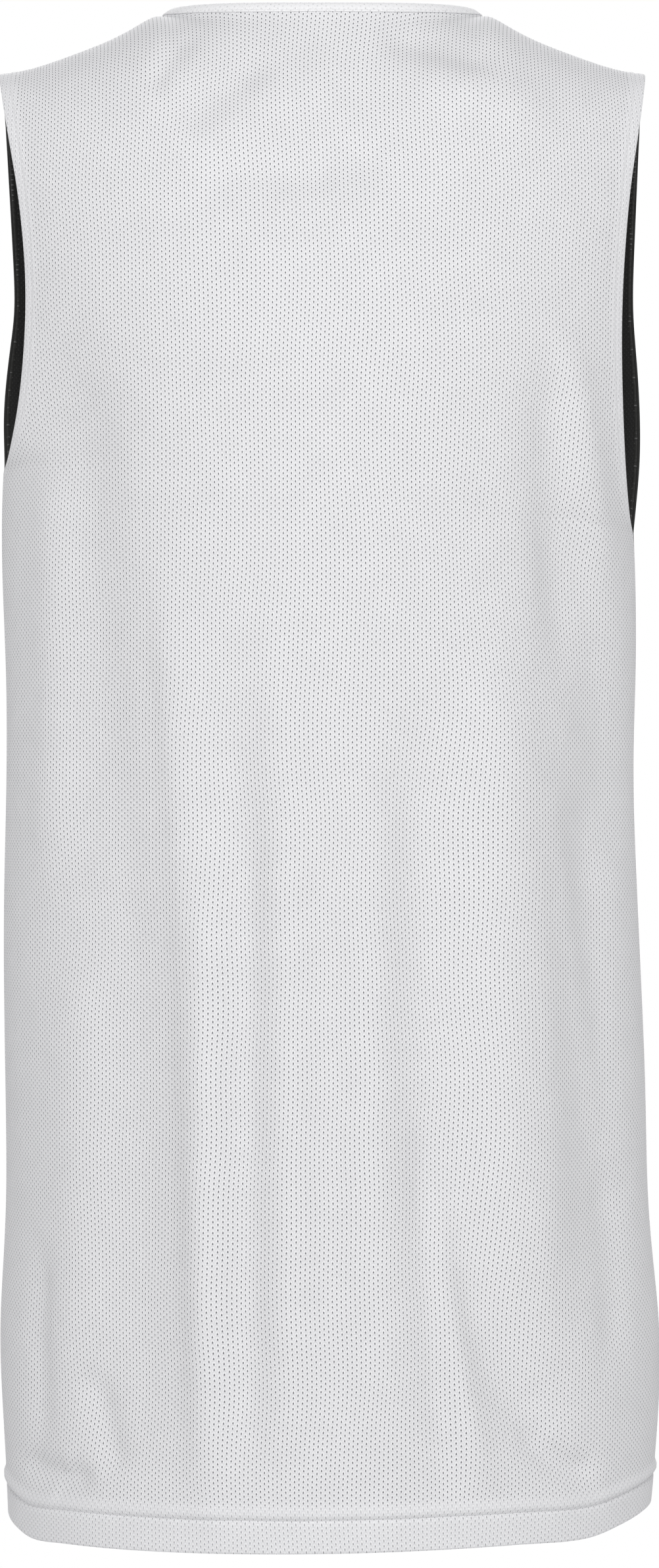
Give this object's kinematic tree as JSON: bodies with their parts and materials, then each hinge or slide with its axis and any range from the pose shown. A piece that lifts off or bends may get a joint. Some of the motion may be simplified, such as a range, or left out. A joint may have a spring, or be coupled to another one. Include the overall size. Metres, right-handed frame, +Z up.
{
  "type": "basketball jersey",
  "caption": "Sleeveless mesh basketball jersey with an inner layer, hollow as when worn: bound round neck, open armholes, straight turned hem.",
  "frame": {"origin": "on the centre line, level with the high points of the shoulders beside the neck, between front and back", "axes": "+Z up along the garment, -Y the wearer's front, +X the wearer's left"},
  "size_m": [0.3376, 0.2636, 0.7787],
  "materials": {
    "outer_mesh": "white eyelet warp knit, soft sheen",
    "inner_mesh": "near-black eyelet warp knit, dull",
    "binding": "white knit strip folded over the neck edge, stitched"
  },
  "bodies": {
    "root": {"back_panel": "outer_mesh", "front_panel": "outer_mesh", "back_lining": "inner_mesh", "front_lining": "inner_mesh", "neck_band": "binding"}
  },
  "joints": []
}
